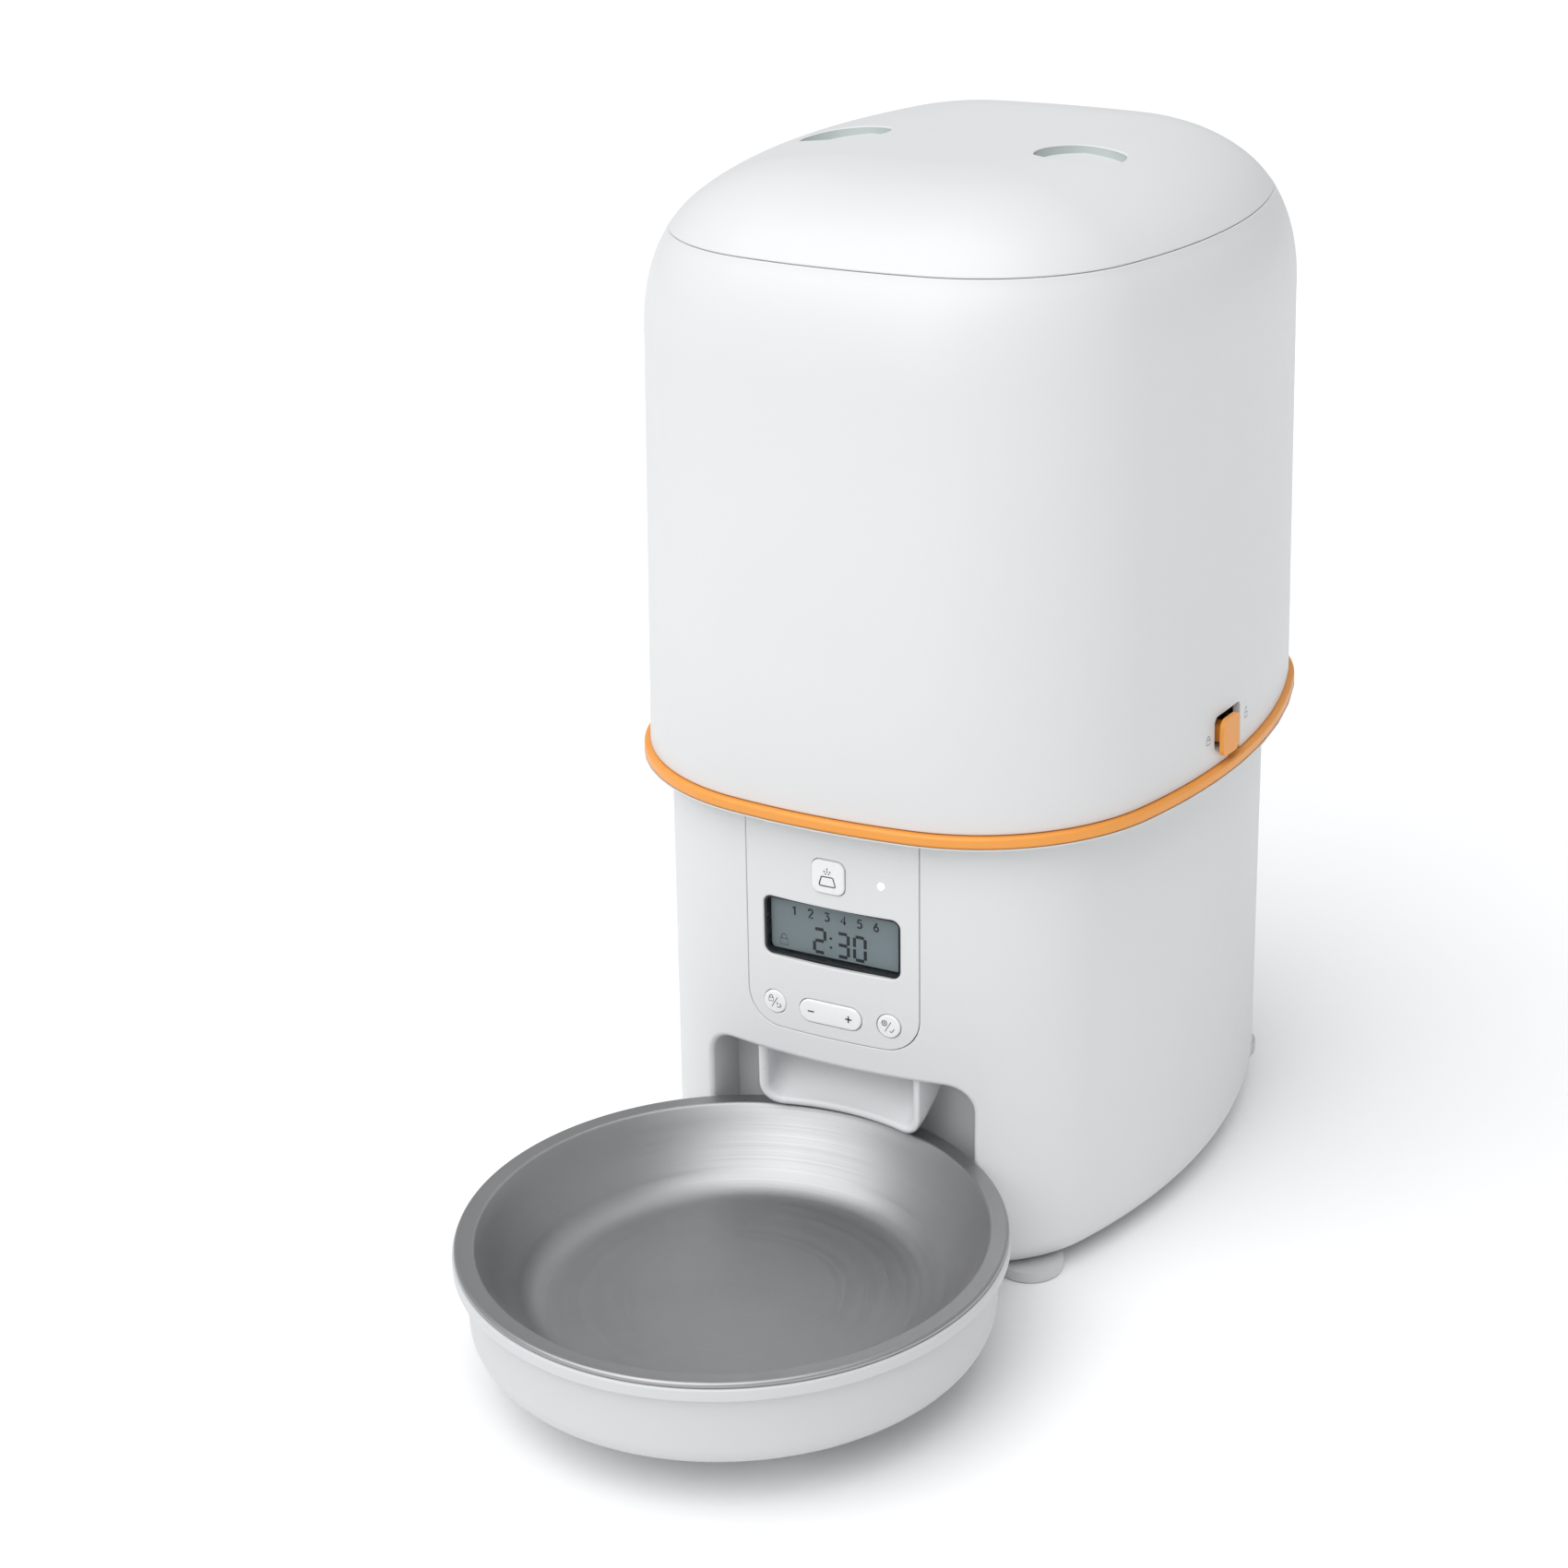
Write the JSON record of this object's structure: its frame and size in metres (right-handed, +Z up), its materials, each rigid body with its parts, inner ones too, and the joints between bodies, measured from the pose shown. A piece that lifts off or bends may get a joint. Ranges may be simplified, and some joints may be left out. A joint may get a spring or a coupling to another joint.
{
  "type": "automatic pet feeder",
  "caption": "Tall white dry-food dispenser with lift-off lid, coupled portion wheel drive, button panel, spout and a steel bowl in a slide-out tray.",
  "frame": {"origin": "on the floor, under the middle of the body's outline", "axes": "+Z up; the front with the control panel and the bowl faces -Y; +X is to the right of someone facing the control panel, the side with the lock"},
  "size_m": [0.1877, 0.3596, 0.332],
  "materials": {
    "white_shell": "fine satin texture",
    "white_gloss": "semi-gloss",
    "tray_white": "satin",
    "chute_white": "semi-gloss",
    "orange_accent": "satin",
    "bowl_steel": "brushed inside, bright rim",
    "black_bezel": "gloss",
    "clear_window": "clear, polished",
    "lcd_glass": "reflective grey display",
    "led_white": "translucent",
    "board_green": "solder mask",
    "switch_black": "moulded",
    "screw_steel": "zinc plated",
    "natural_nylon": "moulded acetal",
    "brass": "turned",
    "motor_can": "drawn steel can",
    "inner_abs": "satin",
    "rotor_grey": "satin",
    "soft_grey": "matt",
    "seal_silicone": "matt",
    "foot_rubber": "matt",
    "inlet_black": "moulded",
    "spring_steel": "nickel plated"
  },
  "bodies": {
    "base": {"base_shell": "white_shell", "base_bottom": "inner_abs", "feet": "foot_rubber", "bottom_screws": "screw_steel", "front_panel": "white_shell", "display_bezel": "black_bezel", "display_window": "clear_window", "lcd_module": "lcd_glass", "led_lens": "led_white", "control_board": "board_green", "tact_switches": "switch_black", "board_screws": "screw_steel", "deck": "inner_abs", "accent_ring": "orange_accent", "output_bush": "brass", "gearbox_case": "inner_abs", "gearbox_screws": "screw_steel", "drive_motor": "motor_can", "idler_axle": "screw_steel", "dc_inlet": "inlet_black", "food_chute": "chute_white", "chute_screws": "screw_steel", "battery_springs": "spring_steel", "battery_contacts": "spring_steel", "hopper": "white_shell", "hopper_funnel": "inner_abs", "rotor_housing": "inner_abs", "housing_screws": "screw_steel", "outlet_cover": "inner_abs", "outlet_wiper": "soft_grey"},
    "feed_button": {"feed_button": "white_gloss"},
    "lock_button": {"lock_button": "white_gloss"},
    "settings_button": {"settings_button": "white_gloss"},
    "minus_plus_rocker": {"minus_plus_rocker": "white_gloss"},
    "lock_slider": {"lock_slider": "orange_accent"},
    "battery_door": {"battery_door": "inner_abs"},
    "portion_rotor": {"output_gear": "natural_nylon", "portion_rotor": "rotor_grey", "agitator": "orange_accent"},
    "idler_gear": {"idler_gear": "natural_nylon"},
    "motor_pinion": {"motor_pinion": "brass"},
    "lid": {"lid": "white_shell", "lid_seal": "seal_silicone", "desiccant_box": "inner_abs", "desiccant_cover": "inner_abs"},
    "tray": {"bowl_tray": "tray_white", "tray_pads": "foot_rubber"},
    "bowl": {"feeding_bowl": "bowl_steel"}
  },
  "joints": [
    {"name": "lid_lift", "type": "slide", "parent": "base", "child": "lid", "axis": [0, 0, 1], "range_m": [0, 0.08]},
    {"name": "feed_press", "type": "slide", "parent": "base", "child": "feed_button", "axis": [0, 1, 0], "range_m": [0, 0.0008], "stiffness_N_per_m": 400},
    {"name": "lock_press", "type": "slide", "parent": "base", "child": "lock_button", "axis": [0, 1, 0], "range_m": [0, 0.0006], "stiffness_N_per_m": 400},
    {"name": "settings_press", "type": "slide", "parent": "base", "child": "settings_button", "axis": [0, 1, 0], "range_m": [0, 0.0006], "stiffness_N_per_m": 400},
    {"name": "rocker_tilt", "type": "hinge", "parent": "base", "child": "minus_plus_rocker", "pos_m": [0, -0.1009, 0.085], "axis": [0, 0, 1], "range_deg": [-3, 3], "stiffness_Nm_per_rad": 0.05},
    {"name": "lock_slide", "type": "slide", "parent": "base", "child": "lock_slider", "axis": [0, 1, 0], "range_m": [0, 0.0075]},
    {"name": "rotor_turn", "type": "hinge", "parent": "base", "child": "portion_rotor", "pos_m": [0, -0.024, 0.16], "axis": [0, 0, 1], "continuous": true},
    {"name": "idler_turn", "type": "hinge", "parent": "base", "child": "idler_gear", "pos_m": [0, -0.003, 0.13], "axis": [0, 0, 1], "continuous": true},
    {"name": "pinion_turn", "type": "hinge", "parent": "base", "child": "motor_pinion", "pos_m": [0, 0.018, 0.125], "axis": [0, 0, 1], "continuous": true},
    {"name": "tray_slide", "type": "slide", "parent": "base", "child": "tray", "axis": [0, -1, 0], "range_m": [0, 0.12]},
    {"name": "bowl_tilt", "type": "hinge", "parent": "tray", "child": "bowl", "pos_m": [0, -0.087, 0.0438], "axis": [-1, 0, 0], "range_deg": [0, 5]},
    {"name": "battery_door_slide", "type": "slide", "parent": "base", "child": "battery_door", "axis": [0, 1, 0], "range_m": [0, 0.07]}
  ],
  "couplings": [
    {"joint": "idler_turn", "follows": "rotor_turn", "ratio": -4},
    {"joint": "pinion_turn", "follows": "rotor_turn", "ratio": 16}
  ]
}
